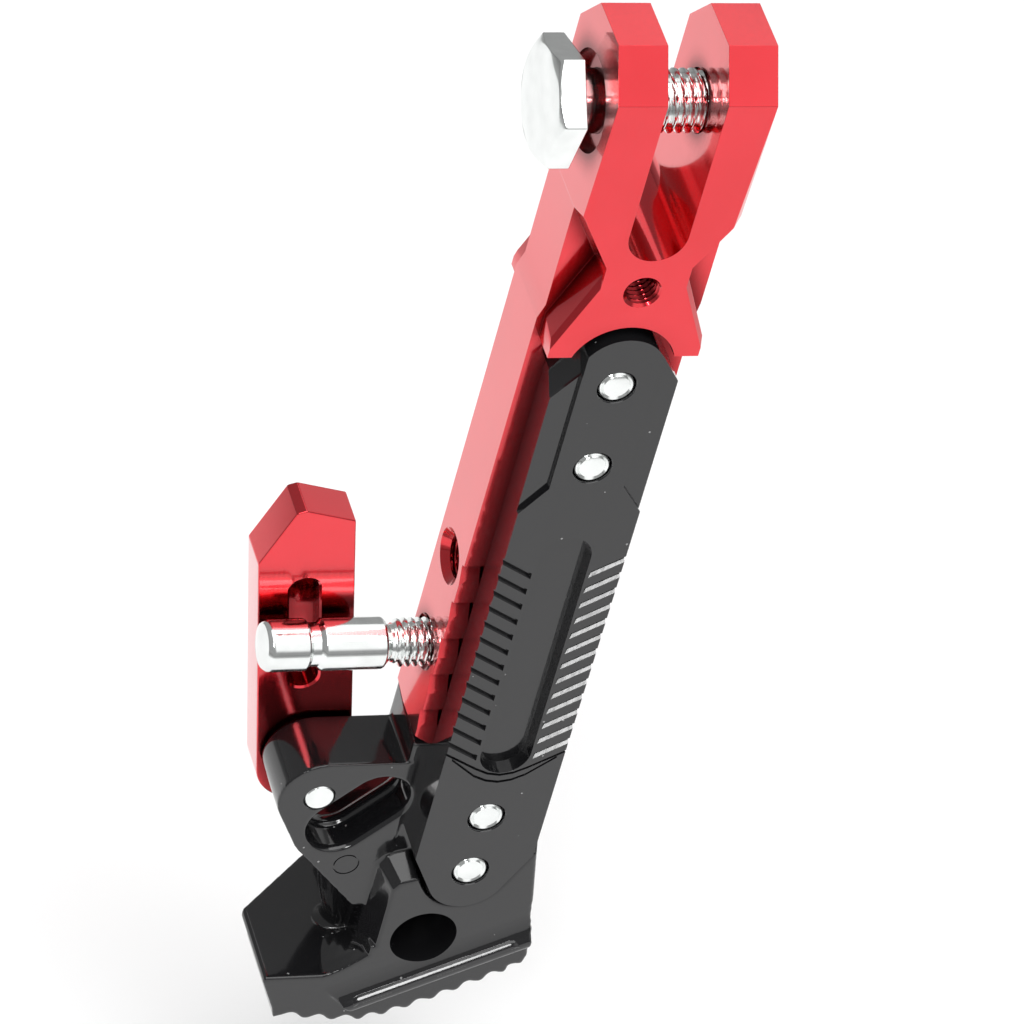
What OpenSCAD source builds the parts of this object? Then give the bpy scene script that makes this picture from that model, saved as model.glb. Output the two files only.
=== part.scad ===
// Adjustable motorcycle kickstand. Millimetres.
// +X runs along the pivot bolt, away from its head. +Z runs up the leg. -Y is the front.
// The origin is on the pivot axis, midway between the two ears of the clevis.

/* [Clevis] */
// Width across the two ears
ear_w = 25.6; // [24:0.2:28]
// Gap between the ears
slot_w = 9.7; // [8:0.1:11]
// Height of the ears above the pivot axis
ear_top = 15; // [13:0.5:17]
// Half of the clevis thickness, front to back
ear_half = 10.9; // [9:0.1:12]

/* [Leg] */
// Distance of the leg's left side from the clevis's middle
leg_left = 13.6; // [13:0.1:14]
// Distance of the leg's right side from the clevis's middle
leg_right = 12.4; // [12:0.1:14]
// Distance of the leg's front face from the pivot axis
leg_front = 5.8; // [5.4:0.1:6.2]
// Distance of the leg's back face from the pivot axis
leg_back = 6.6; // [6:0.1:7]
// Distance of the leg's end below the pivot axis, at the front face
leg_end = 131.6; // [129:0.1:132]
// Pitch of the length adjustment notches
notch_pitch = 8; // [6:0.5:9]
// Number of length adjustment notches
notch_count = 5; // [3:1:5]

/* [Front cover] */
// Width of the cover
cover_w = 20.4; // [18:0.2:22]
// Distance of the cover's front face from the pivot axis
cover_front = 12; // [11.5:0.1:12.5]
// Depth of the long window in the cover
window_depth = 2.2; // [1:0.1:3]
// Number of chevron ribs on each side of the window
rib_count = 13; // [8:1:14]

/* [Foot] */
// Distance of the lowest tooth below the pivot axis
sole_drop = 191.6; // [188:0.2:196]
// Distance of the foot's front face from the pivot axis
foot_front = 11; // [10:0.1:11.5]
// Pitch of the teeth on the sole
tooth_pitch = 4.9; // [4:0.1:6]

/* [Kick lever] */
// Length of the lever above its pin
lever_reach = 53.5; // [40:0.5:58]
// Width of the lever
lever_w = 16; // [13:0.2:17]
// Lean of the lever away from the leg, in degrees
lever_lean = 11; // [5:0.5:15]

/* [Hidden] */
$fn = 64;

anodised_red = [0.78, 0.08, 0.12];
gloss_black = [0.09, 0.09, 0.09];
bright_steel = [0.82, 0.83, 0.84];
eps = 0.01;
run_fit = 0.08;

ear_x = ear_w / 2;
slot_x = slot_w / 2;
slot_end = 18;
neck_bottom = 36.2;
leg_shoulder = 38.8;
end_slant = 2.9;
end_corner = [2.8, 1.9];
skirt_bottom = 42.6;
skirt_x = 12.4;
waist_x = 7;

pivot_r = 5;
pivot_head_x = -20.6;
pivot_head_t = 4.5;
pivot_head_af = 18;
pivot_tip_x = 6.4;
pivot_hex_turn = 14;

post_z = -114.5;
side_hole_y = 0.5;
spare_z = -95.5;
post_r = 4;
post_depth = 8;
post_reach = 2.7;
spare_depth = 7;
m8_tap_r = 3.4;
m6_tap_r = 2.5;
stop_hole_z = -29.3;
arch_r = 8.9;

clamp_z = [-48, -65];
foot_z = [-143, -155.5];
travel = 4 * notch_pitch;
screw_r = 3;
screw_tip = cover_front - 0.4;
groove_floor = 2.2;
groove_x = 5.9;
clamp_plate_t = 2.4;
washer_t = 1.6;
washer_r = 5.3;
head_r = 5;
head_h = 6;

cover_x = cover_w / 2;
cover_back = leg_front + 0.05;
cover_top_c = -45.4;
cover_top_r = 7.2;
cover_tip_c = -157;
cover_tip_r = 6.8;
cover_tip_turn = 27.7;
cover_flank = -152.2;
cover_shoulder = -47.5;
left_land_drop = 2;
right_land_drop = 0.8;
window_x = 4.2;
window_z = [-84.4, -128.2];

pin_x = -27;
pin_z = -143.3;
pin_r = 2.5;
arm_front = 6;
arm_back = -5.4;
arm_end_r = 7.5;
arm_opening = [[-22.3, -150.3], [-16.5, -144.5]];
arm_opening_r = 5;
arm_wall = 2.85;
lever_t = 7;
lever_front = -6;
lever_heel = 12.2;
thin_washer_t = 0.5;

socket_pos = [-4.3, -172];
socket_r = 5.5;
socket_depth = 12;

// A flat outline in X and Z, made solid between two distances in front of the pivot axis.
module front_slab(back, front) {
    translate([0, -back, 0]) rotate([90, 0, 0]) linear_extrude(front - back) children();
}

// A flat outline in Y and Z, made solid from x0 to x1.
module side_slab(x0, x1) {
    translate([x0, 0, 0]) rotate([90, 0, 90]) linear_extrude(x1 - x0) children();
}

// A round bar or bore along Y at (x, z), between two distances in front of the pivot axis.
module rod_y(x, z, r, back, front) {
    translate([x, -back, z]) rotate([90, 0, 0]) cylinder(r = r, h = front - back);
}

// A round bar or bore along X at height z, from x0 to x1.
module rod_x(x0, x1, z, r) {
    translate([x0, 0, z]) rotate([0, 90, 0]) cylinder(r = r, h = x1 - x0);
}

// One of the blind holes in the leg's left side, with its countersink.
module side_hole(z, r, depth) {
    sink_r = 4.7;
    translate([-leg_left, side_hole_y, z]) rotate([0, 90, 0]) {
        translate([0, 0, -1]) cylinder(r = r, h = depth + 1);
        translate([0, 0, -eps]) cylinder(r1 = sink_r, r2 = m8_tap_r, h = sink_r - m8_tap_r);
    }
}

// A conical lead-in at the mouth of a bore along Y.
module sink_y(x, z, r_mouth, r_bore, front) {
    depth = r_mouth - r_bore;
    translate([x, -front + depth, z]) rotate([90, 0, 0])
        cylinder(r1 = r_bore, r2 = r_mouth + eps, h = depth + eps);
}

// A slot outline with round ends between the heights z0 and z1.
module round_slot(r, z0, z1) {
    translate([-r, min(z0, z1)]) square([2 * r, abs(z1 - z0)]);
    for (z = [z0, z1]) translate([0, z]) circle(r);
}

// Left and right copies of a shape that is drawn on the right.
module both_sides() {
    children();
    mirror([1, 0, 0]) children();
}

// Outline of the clevis seen from the front: ears, waist and skirt.
module clevis_front_outline() {
    polygon([
        [-ear_x, ear_top + 1], [ear_x, ear_top + 1], [ear_x, -14.5],
        [waist_x, -24.4], [waist_x, -26.6], [skirt_x, -39], [skirt_x, -skirt_bottom],
        [-skirt_x, -skirt_bottom], [-skirt_x, -39], [-waist_x, -26.6],
        [-waist_x, -24.4], [-ear_x, -14.5]
    ]);
}

// Outline of the clevis seen from the side, with sloped top corners.
module clevis_side_outline() {
    flat = 5;
    slope = 7;
    polygon([
        [-flat, ear_top], [flat, ear_top], [ear_half, ear_top - slope],
        [ear_half, -skirt_bottom - 1], [-ear_half, -skirt_bottom - 1], [-ear_half, ear_top - slope]
    ]);
}

module clevis_body() {
    intersection() {
        front_slab(-ear_half, ear_half) clevis_front_outline();
        side_slab(-ear_x, ear_x) clevis_side_outline();
    }
    front_slab(-leg_back, leg_front) polygon([
        [-ear_x, 6], [ear_x, 6], [ear_x, -neck_bottom], [leg_right, -leg_shoulder],
        [-leg_left, -leg_shoulder], [-ear_x, -neck_bottom]
    ]);
}

module leg_bar() {
    intersection() {
        side_slab(-leg_left, leg_right) polygon([
            [-leg_front, -leg_shoulder], [leg_back, -leg_shoulder],
            [leg_back, -leg_end + end_slant], [-leg_front, -leg_end]
        ]);
        front_slab(-leg_back, leg_front) polygon([
            [-leg_left, -leg_shoulder], [leg_right, -leg_shoulder],
            [leg_right, -leg_end + end_corner[1]], [leg_right - end_corner[0], -leg_end],
            [-leg_left + end_corner[0], -leg_end], [-leg_left, -leg_end + end_corner[1]]
        ]);
    }
}

// A tapering chamfer down the outer front edge of the right ear.
module ear_edge_cut() {
    translate([ear_x, -ear_half, ear_top - 7]) rotate([0, 0, -45]) rotate([0, 1.8, 0])
        translate([0, -5, -26]) cube([5, 10, 26]);
}

// The V notches across the leg's front face.
module rack_notches() {
    lowest = 124.4;
    for (i = [0 : notch_count - 1])
        translate([0, -leg_front, -lowest + i * notch_pitch]) rotate([0, 90, 0])
            rotate([0, 0, 45]) cube([1.3, 1.3, 2 * leg_left + 2], center = true);
}

// Everything that is drilled or milled out of the leg.
module leg_cuts() {
    front_slab(-ear_half - 1, ear_half + 1) {
        translate([-slot_x, -slot_end]) square([slot_w, slot_end + ear_top + 2]);
        translate([0, -slot_end]) circle(slot_x);
    }
    front_slab(leg_front, ear_half + 1) translate([0, cover_top_c]) circle(arch_r);
    both_sides() ear_edge_cut();
    rod_x(-ear_x - 1, ear_x + 1, 0, pivot_r + run_fit);
    rod_x(-ear_x - 1, -ear_x + 1.4, 0, 7.9);
    rod_y(0, stop_hole_z, m6_tap_r, ear_half - 12, ear_half + 1);
    sink_y(0, stop_hole_z, m6_tap_r + 0.6, m6_tap_r, ear_half);
    side_hole(spare_z, m8_tap_r, spare_depth);
    side_hole(post_z, post_r + run_fit, post_depth);
    front_slab(-leg_back - 1, leg_front + 1)
        round_slot(screw_r + 0.3, clamp_z[0] + 0.3, clamp_z[1] - travel - 0.3);
    front_slab(-leg_back - 1, -groove_floor)
        round_slot(groove_x, clamp_z[0] + 0.5, clamp_z[1] - travel - 0.5);
    rack_notches();
}

// One-piece machined clevis and leg.
module upper_leg() {
    color(anodised_red) difference() {
        union() {
            clevis_body();
            leg_bar();
        }
        leg_cuts();
    }
}

// Hexagon bolt through the ears, screwed part of the way in.
module pivot_bolt() {
    flats_r = pivot_head_af / 2;
    color(bright_steel) {
        translate([pivot_head_x, 0, 0]) rotate([0, 90, 0]) rotate_extrude() polygon([
            [0, 1], [pivot_r, 1], [pivot_r, pivot_tip_x - pivot_head_x - 1],
            [pivot_r - 1, pivot_tip_x - pivot_head_x], [0, pivot_tip_x - pivot_head_x]
        ]);
        intersection() {
            translate([pivot_head_x, 0, 0]) rotate([0, 90, 0]) rotate([0, 0, pivot_hex_turn])
                cylinder(r = flats_r / cos(30), h = pivot_head_t, $fn = 6);
            translate([pivot_head_x, 0, 0]) rotate([0, 90, 0])
                cylinder(r1 = flats_r - 0.1, r2 = flats_r - 0.1 + 2 * pivot_head_t, h = pivot_head_t);
        }
    }
}

// Turned post that holds the end of the return spring in its groove.
module spring_post() {
    body_r = 4.3;
    color(bright_steel) translate([0, side_hole_y, post_z]) rotate([0, -90, 0]) rotate_extrude() polygon([
        [0, leg_left - post_reach], [post_r, leg_left - post_reach],
        [post_r, 18.6], [3.1, 18.9], [3.1, 19.9], [body_r - 0.3, 21], [body_r, 21.4],
        [body_r, 31.4], [3.6, 32], [3.6, 33.6], [body_r, 34.2], [body_r, 40.6],
        [body_r - 0.8, 41.5], [0, 41.5]
    ]);
}

// The front cover's plain shape between two distances: round at the top, pointed at the bottom.
module cover_blank(back, front, grow = 0) {
    side = cover_x + grow;
    flank_z = cover_flank - grow / 4;
    tip = (cover_tip_r + grow - 0.06) * [cos(cover_tip_turn), -sin(cover_tip_turn)];
    front_slab(back, front) polygon([
        [-side, cover_shoulder], [-6, cover_top_c + 3.5], [6, cover_top_c + 3.5],
        [side, cover_shoulder], [side, flank_z], [tip[0], cover_tip_c + tip[1]],
        [-tip[0], cover_tip_c + tip[1]], [-side, flank_z]
    ]);
    rod_y(0, cover_top_c, cover_top_r + grow, back, front);
    rod_y(0, cover_tip_c, cover_tip_r + grow, back, front);
}

// Lowered strip beside the cover's upper half, drawn on the right.
module cover_land_outline() {
    polygon([[6.2, -40], [14, -40], [14, -74.6], [cover_x, -74.6], [6.2, -69.3]]);
}

// One slanted groove between two chevron ribs, running down towards the window.
module rib_groove(z) {
    translate([cover_x + 0.4, -cover_front, z]) rotate([0, -32, 0])
        translate([-6.6, -0.35, -0.28]) cube([6.6, 1, 0.56]);
}

// Clamping cover over the front of the leg, tapped for the four screws.
module front_cover() {
    rib_pitch = 44 / rib_count;
    color(gloss_black) difference() {
        cover_blank(cover_back, cover_front);
        front_slab(cover_front - right_land_drop, cover_front + 1) cover_land_outline();
        front_slab(cover_front - left_land_drop, cover_front + 1) mirror([1, 0, 0]) cover_land_outline();
        front_slab(cover_front - window_depth, cover_front + 1)
            round_slot(window_x, window_z[0], window_z[1]);
        for (i = [0 : rib_count]) both_sides() rib_groove(-84.5 - i * rib_pitch);
        for (z = concat(clamp_z, foot_z)) {
            rod_y(0, z, screw_r + 0.02, cover_back - 1, cover_front + 1);
            sink_y(0, z, screw_r + 0.3, screw_r + 0.02, cover_front);
        }
    }
}

// Outline of the arm that carries the kick lever.
module arm_outline() {
    lower = arm_opening[0];
    outer_r = arm_opening_r + arm_wall;
    left = [-0.857, -0.515];
    diagonal = [-0.747, -0.664];
    end = [pin_x + 0.5, pin_z];
    polygon([
        [end[0], end[1] + arm_end_r], [-12, end[1] + arm_end_r], [-12, -169], [-16.2, -169],
        lower + outer_r * diagonal, lower + outer_r * left, end + arm_end_r * left, end
    ]);
    translate(end) circle(arm_end_r);
    translate(lower) circle(outer_r);
}

// Oval opening that lightens the arm.
module arm_opening_outline() {
    a = arm_opening[0];
    b = arm_opening[1];
    side = arm_opening_r * [-sin(45), cos(45)];
    polygon([a + side, b + side, b - side, a - side]);
    for (p = [a, b]) translate(p) circle(arm_opening_r);
}

// Foot plate seen from above, with -Y as the front.
module plate_plan() {
    polygon([
        [-30.5, -foot_front], [15.6, -foot_front], [15.6, 12], [10, 20], [-12, 20],
        [-16.8, 17], [-29.8, 5.3], [-30.5, 4]
    ]);
}

// Foot plate seen from the front: flat wing on the left, sole sloping up to the right.
module plate_front_outline() {
    flat_from = [-26.2, -189.2];
    turn = [-11, -sole_drop + 0.9];
    rise_to = [14.6, -179.2];
    flat_teeth = 3;
    slope_teeth = round(norm(rise_to - turn) / tooth_pitch);
    polygon([
        [-30.2, -180.5], [-13, -180.5], [-13, -174], [14.6, -170.6], [15.2, -177.6], rise_to,
        turn, flat_from, [-26.9, -188.4]
    ]);
    for (i = [0 : flat_teeth]) translate(flat_from + (turn - flat_from) * i / flat_teeth) circle(1);
    for (i = [1 : slope_teeth]) translate(turn + (rise_to - turn) * i / slope_teeth) circle(0.9);
}

// Upright front of the foot that cups the end of the cover, with drafted sides.
module boss() {
    hull() {
        front_slab(leg_front - 0.2, leg_front) polygon([
            [-14, -159.2], [-12.8, -157], [13, -152], [13.6, -165], [15.2, -177.6], [14.6, -179.2],
            [-14, -188]
        ]);
        front_slab(foot_front - 0.2, foot_front) polygon([
            [-12.1, -160.6], [-11, -158.9], [11.2, -152.8], [13.3, -165], [15, -177.6],
            [14.4, -179.2], [-12.1, -188]
        ]);
    }
}

// Ramp between the wing's top and the boss.
module wing_ramp() {
    front_slab(-3, foot_front) polygon([[-19.7, -180.7], [-12.1, -174.9], [-12.1, -181]]);
}

// Lower edge of the boss, flared forwards to a lip above the teeth.
module boss_flare() {
    start = [-22, -191];
    length = 42;
    slope = 26.1;
    intersection() {
        translate([start[0], 0, start[1]]) rotate([0, -slope, 0]) side_slab(0, length) polygon([
            [-10.6, -0.4], [-12.2, -0.3], [-12.8, 0.2], [-12.8, 0.9], [-12, 2.6], [-11.4, 4.6],
            [-11.05, 7.4], [-9, 7.4], [-9, -0.4]
        ]);
        front_slab(8, 14) polygon([
            [-19.7, -180.7], [-19.5, -182], [-18.5, -184.2], [-15.4, -187], [-11.5, -189],
            [16, -180], [14.6, -178.6], [14.9, -177], [13.6, -165], [-12.1, -170], [-12.1, -174.9]
        ]);
    }
}

// Rib under the arm, standing on the wing.
module arm_web() {
    front_slab(arm_back, 0.6) polygon([[-22.5, -161], [-14.6, -181], [-11, -181], [-11, -160]]);
}

// Post under the leg that the cover and the clamp screws hold.
module column() {
    gap = 0.2;
    intersection() {
        side_slab(-leg_left + 0.2, leg_right - 0.1) polygon([
            [leg_back, -leg_end + end_slant - gap], [leg_back, -182], [-cover_back, -182],
            [-cover_back, -leg_end - gap], [-leg_front, -leg_end - gap]
        ]);
        front_slab(-20, 20) polygon([[-20, -120], [20, -120], [20, -181], [-20, -181]]);
    }
}

// Cast foot: column, lever arm, serrated foot plate and front boss in one piece.
module foot_casting() {
    spotface = groove_floor + 0.05;
    color(gloss_black) difference() {
        union() {
            column();
            front_slab(arm_back, arm_front) arm_outline();
            arm_web();
            intersection() {
                front_slab(-21, foot_front) plate_front_outline();
                translate([0, 0, -200]) linear_extrude(40) plate_plan();
            }
            difference() {
                boss();
                cover_blank(cover_back, foot_front + 1, 0.8);
            }
            wing_ramp();
            boss_flare();
        }
        front_slab(arm_back - 1, arm_front + 1) arm_opening_outline();
        rod_y(pin_x, pin_z, pin_r + 0.02, arm_back - 1, arm_front + 1);
        rod_y(socket_pos[0], socket_pos[1], socket_r, foot_front - socket_depth, foot_front + 1);
        for (z = foot_z) {
            rod_y(0, z, screw_r + 0.2, -leg_back - 1, cover_back + 1);
            rod_y(0, z, groove_x, -leg_back - 1, -spotface);
        }
    }
}

// Steel strip that slides in the groove in the back of the leg.
module rear_clamp_plate() {
    front = -groove_floor - 0.05;
    color(bright_steel) difference() {
        front_slab(front - clamp_plate_t, front)
            round_slot(groove_x - 0.2, clamp_z[0], clamp_z[1]);
        for (z = clamp_z) rod_y(0, z, screw_r + 0.2, -9, 0);
    }
}

// Socket head screw from behind, its end level with the front of the cover.
module cap_screw(z, seat) {
    socket_af = 5;
    color(bright_steel) difference() {
        union() {
            rod_y(0, z, screw_r, seat, screw_tip);
            rod_y(0, z, head_r, seat - head_h, seat);
        }
        translate([0, -seat + head_h + 1, z]) rotate([90, 0, 0])
            cylinder(r = socket_af / 2 / cos(30), h = 4, $fn = 6);
    }
}

// Spring washer under a screw head, with its split.
module lock_washer(z, seat) {
    color(bright_steel) difference() {
        rod_y(0, z, washer_r, seat - washer_t, seat);
        rod_y(0, z, screw_r + 0.15, seat - washer_t - 1, seat + 1);
        translate([-0.4, -seat - 1, z]) cube([0.8, washer_t + 2, 8]);
    }
}

clamp_seat = -groove_floor - 0.05 - clamp_plate_t;
foot_seat = -groove_floor - 0.05;

module clamp_screw_upper() { cap_screw(clamp_z[0], clamp_seat - washer_t); }
module clamp_screw_lower() { cap_screw(clamp_z[1], clamp_seat - washer_t); }
module clamp_washer_upper() { lock_washer(clamp_z[0], clamp_seat); }
module clamp_washer_lower() { lock_washer(clamp_z[1], clamp_seat); }
module foot_screw_upper() { cap_screw(foot_z[0], foot_seat - washer_t); }
module foot_screw_lower() { cap_screw(foot_z[1], foot_seat - washer_t); }
module foot_washer_upper() { lock_washer(foot_z[0], foot_seat); }
module foot_washer_lower() { lock_washer(foot_z[1], foot_seat); }

// Outline of the kick lever about its pin, before it is leaned over.
module lever_outline() {
    half = lever_w / 2;
    translate([0.3, 0]) {
        polygon([
            [-half, half - lever_heel], [half, half - lever_heel], [half, lever_reach - 3.5],
            [0.1, lever_reach + 0.4], [-1.3, lever_reach + 0.2], [-half, lever_reach - 9.8]
        ]);
        translate([0, half - lever_heel]) circle(half);
    }
}

// Flat lever that the rider's foot pushes, behind the arm.
module kick_lever() {
    slot_r = 2.5;
    color(anodised_red) translate([pin_x, 0, pin_z]) rotate([0, -lever_lean, 0]) difference() {
        front_slab(lever_front - lever_t, lever_front) lever_outline();
        front_slab(lever_front - 2.4, lever_front + 1) round_slot(slot_r, 16.5, 36.2);
        rod_y(0, 0, pin_r + run_fit, lever_front - lever_t - 1, lever_front + 1);
    }
}

// Pin that the lever turns on, flush with the arm's front face.
module lever_pin() {
    clip_front = lever_front - lever_t - 1.1;
    color(bright_steel) difference() {
        rod_y(pin_x, pin_z, pin_r, clip_front - 1.6, arm_front);
        difference() {
            rod_y(pin_x, pin_z, pin_r + 1, clip_front - 0.7, clip_front);
            rod_y(pin_x, pin_z, pin_r - 0.5, clip_front - 2, clip_front + 1);
        }
    }
}

// Flat ring round the lever's pin.
module pin_ring(outer, inner, back, front) {
    difference() {
        rod_y(pin_x, pin_z, outer, back, front);
        rod_y(pin_x, pin_z, inner, back - 1, front + 1);
    }
}

// Thin washer between the arm and the lever.
module lever_friction_washer() {
    color(bright_steel) pin_ring(6, pin_r + 0.05, arm_back - thin_washer_t - 0.03, arm_back - 0.03);
}

// Washer between the lever and the clip.
module lever_back_washer() {
    back_face = lever_front - lever_t - 0.05;
    color(bright_steel) pin_ring(5, pin_r + 0.05, back_face - 1, back_face);
}

// Retaining clip in the pin's groove.
module lever_clip() {
    clip_front = lever_front - lever_t - 1.1;
    color(bright_steel) difference() {
        pin_ring(4.6, pin_r - 0.48, clip_front - 0.65, clip_front - 0.05);
        translate([pin_x - 1.2, -clip_front - 1, pin_z - 6]) cube([2.4, 3, 4.6]);
    }
}

upper_leg();
pivot_bolt();
spring_post();
front_cover();
foot_casting();
rear_clamp_plate();
clamp_screw_upper();
clamp_screw_lower();
clamp_washer_upper();
clamp_washer_lower();
foot_screw_upper();
foot_screw_lower();
foot_washer_upper();
foot_washer_lower();
kick_lever();
lever_pin();
lever_friction_washer();
lever_back_washer();
lever_clip();
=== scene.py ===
import math
import bmesh
import bpy
from mathutils import Matrix, Vector


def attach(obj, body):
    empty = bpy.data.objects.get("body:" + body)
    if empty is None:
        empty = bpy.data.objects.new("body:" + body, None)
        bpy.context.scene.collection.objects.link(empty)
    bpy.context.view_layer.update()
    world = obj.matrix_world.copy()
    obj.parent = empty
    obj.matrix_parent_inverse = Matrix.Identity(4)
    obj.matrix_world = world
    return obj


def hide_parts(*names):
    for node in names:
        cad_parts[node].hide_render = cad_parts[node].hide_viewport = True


# Shapes are built in millimetres. X runs along the pivot bolt, Z up the leg, and "front"
# distances are measured from the pivot axis towards -Y, as in the CAD.
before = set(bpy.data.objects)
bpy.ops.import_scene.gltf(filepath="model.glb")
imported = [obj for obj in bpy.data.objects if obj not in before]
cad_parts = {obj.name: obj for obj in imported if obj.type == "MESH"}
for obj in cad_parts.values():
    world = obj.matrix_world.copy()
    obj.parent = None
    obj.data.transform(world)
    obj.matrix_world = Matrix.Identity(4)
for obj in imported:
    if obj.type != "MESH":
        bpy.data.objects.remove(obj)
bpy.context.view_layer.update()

MM = 0.001
ALONG_X = (1, 0, 0)
TO_LEFT = (-1, 0, 0)
TO_FRONT = (0, -1, 0)

# clevis: the ears' width, depth and top, and the slot between them
EAR_X = 12.8
EAR_HALF = 10.9
EAR_TOP = 15
EAR_SLOPE = 7
SLOT_X = 4.85
SLOT_END = 18
STOP_HOLE_Z = -29.3
BOLT_R = 5

# leg: its sides, front, back and lower end, and the neck above its shoulder
LEG_LEFT = 13.6
LEG_RIGHT = 12.4
LEG_FRONT = 5.8
LEG_BACK = 6.6
LEG_END = 131.6
LEG_SHOULDER = 38.8
NECK_X = 12.75
NECK_END = 36.2
SIDE_HOLE_Y = 0.5
SPARE_Z = -95.5
POST_Z = -114.5
NOTCH_Z = -123.5
NOTCH_PITCH = 8
NOTCHES = 5
SLIDE = 32
GROOVE_FLOOR = 2.2
GROOVE_X = 5.9

# cover: half width, depth and round ends, with the window, ribs and screw holes
COVER_X = 10.2
COVER_BACK = 5.85
COVER_FRONT = 12
COVER_TOP_Z = -45.4
COVER_TOP_SIDE_Z = -47.5
COVER_TOE_Z = -157
COVER_TOE_R = 6.75
COVER_TOE_SIDE_Z = -152.2
COVER_TOE_ANGLE = 27.7
WINDOW_Z = (-84.4, -128.2)
RIBS = 13
RIB_RUN = 44
RIB_SLANT = math.radians(32)
CLAMP_Z = (-48, -65)
FOOT_Z = (-143, -155.5)

# foot: front face, wing, arm and the slope of the lip
FOOT_FRONT = 11
WING_TOP = -180.5
ARM_FRONT = 6
ARM_BACK = -5.4
SOCKET = (-4.3, 0, -172)
LIP_SLOPE = math.radians(26.1)
LIP_START = (-22, -191)

# lever and its pin
PIN_X = -27
PIN_Z = -143.3
LEVER_FRONT = -6
LEVER_T = 7
LEVER_LEAN = 11


# ---------------------------------------------------------------- shapes
def mesh_object(name, verts, faces):
    """A mesh in the scene, its faces turned outwards."""
    mesh = bpy.data.meshes.new(name)
    mesh.from_pydata([Vector(v) for v in verts], [], faces)
    bm = bmesh.new()
    bm.from_mesh(mesh)
    bmesh.ops.recalc_face_normals(bm, faces=bm.faces)
    bm.to_mesh(mesh)
    bm.free()
    obj = bpy.data.objects.new(name, mesh)
    bpy.context.collection.objects.link(obj)
    return obj


def loft(name, rings):
    """A closed solid through rings that have the same number of points."""
    count = len(rings[0])
    verts = [point for ring in rings for point in ring]
    faces = [tuple(range(count)), tuple(range(len(verts) - count, len(verts)))]
    for r in range(len(rings) - 1):
        for i in range(count):
            j = (i + 1) % count
            faces.append((r * count + i, r * count + j, (r + 1) * count + j, (r + 1) * count + i))
    return mesh_object(name, verts, faces)


def front_slab(outline, back, front):
    """A flat outline in X and Z, solid between two front distances."""
    return loft("slab", [[(x, -n, z) for x, z in outline] for n in (back, front)])


def side_slab(outline, x0, x1):
    """A flat outline in Y and Z, solid from x0 to x1."""
    return loft("slab", [[(x, y, z) for y, z in outline] for x in (x0, x1)])


def plan_slab(outline, z0, z1):
    """A flat outline in X and Y, solid from z0 to z1."""
    return loft("slab", [[(x, y, z) for x, y in outline] for z in (z0, z1)])


def lathe(profile, origin, axis):
    """A turned solid: profile is a list of (radius, distance along the axis)."""
    segments = 96
    turn = Vector(axis).to_track_quat("Z", "Y").to_matrix()
    rings = []
    for radius, t in profile:
        ring = []
        for i in range(segments):
            a = 2 * math.pi * i / segments
            point = turn @ Vector((radius * math.cos(a), radius * math.sin(a), t))
            ring.append(point + Vector(origin))
        rings.append(ring)
    return loft("turned", rings)


def thread_solid(origin, axis, minor, major, pitch, start, end, hole=False):
    """A helical thread along the axis; a hole's has gentler flanks and runs full to its ends."""
    turn = Vector(axis).to_track_quat("Z", "Y").to_matrix()
    segments = 48
    rings_per_turn = 10
    run_out = 0.8 * pitch
    crest, flank = (1.05, 2.6) if hole else (1.25, 3.4)
    steps = int(round((end - start) / pitch * rings_per_turn))
    rings = []
    for s in range(steps + 1):
        t = start + (end - start) * s / steps
        painted_light_falloff = 1 if hole else min(1, (t - start) / run_out + 0.001, (end - t) / run_out + 0.001)
        ring = []
        for i in range(segments):
            a = 2 * math.pi * i / segments
            phase = (t / pitch - a / (2 * math.pi)) % 1
            wave = min(1, max(0, crest - abs(phase - 0.5) * flank))
            radius = minor + (major - minor) * wave * painted_light_falloff
            point = turn @ Vector((radius * math.cos(a), radius * math.sin(a), t))
            ring.append(point + Vector(origin))
        rings.append(ring)
    return loft("thread", rings)


def arc(cx, cz, radius, start, end, count):
    """Points along an arc, the angles in degrees from +X towards +Z."""
    return [
        (
            cx + radius * math.cos(math.radians(start + (end - start) * i / count)),
            cz + radius * math.sin(math.radians(start + (end - start) * i / count)),
        )
        for i in range(count + 1)
    ]


def hexagon(flats, angle, z=0):
    """A hexagon from its width across flats; the angle is that of its first corner."""
    radius = flats / 2 / math.cos(math.pi / 6)
    return arc(0, z, radius, angle, angle + 300, 5)


def slot_outline(radius, z0, z1):
    """A round-ended upright slot on the middle line."""
    top, bottom = max(z0, z1), min(z0, z1)
    return arc(0, top, radius, 0, 180, 24) + arc(0, bottom, radius, 180, 360, 24)


def settle(obj):
    """Applies every modifier to the mesh."""
    graph = bpy.context.evaluated_depsgraph_get()
    mesh = bpy.data.meshes.new_from_object(obj.evaluated_get(graph))
    obj.modifiers.clear()
    obj.data = mesh
    return obj


def combine(target, tools, operation):
    """Applies each tool to the target in turn, and removes the tools."""
    for tool in tools:
        change = target.modifiers.new("combine", "BOOLEAN")
        change.operation = operation
        change.solver = "EXACT"
        change.object = tool
        settle(target)
    for tool in tools:
        bpy.data.objects.remove(tool)
    return target


def cut(target, *tools):
    return combine(target, tools, "DIFFERENCE")


def join(target, *tools):
    return combine(target, tools, "UNION")


def keep_common(target, tool):
    return combine(target, [tool], "INTERSECT")


def mirrored(obj):
    """Moves a solid to the other side of the middle plane."""
    obj.data.transform(Matrix.Scale(-1, 4, ALONG_X))
    obj.data.flip_normals()
    return obj


def move(obj, matrix):
    obj.data.transform(matrix)
    return obj


def cast(obj, voxel, rounds):
    """Rounds every edge as casting does: an even skin, smoothed."""
    skin = obj.modifiers.new("skin", "REMESH")
    skin.mode = "VOXEL"
    skin.voxel_size = voxel
    settle(obj)
    soft = obj.modifiers.new("soft", "SMOOTH")
    soft.factor = 0.5
    soft.iterations = rounds
    return settle(obj)


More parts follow.
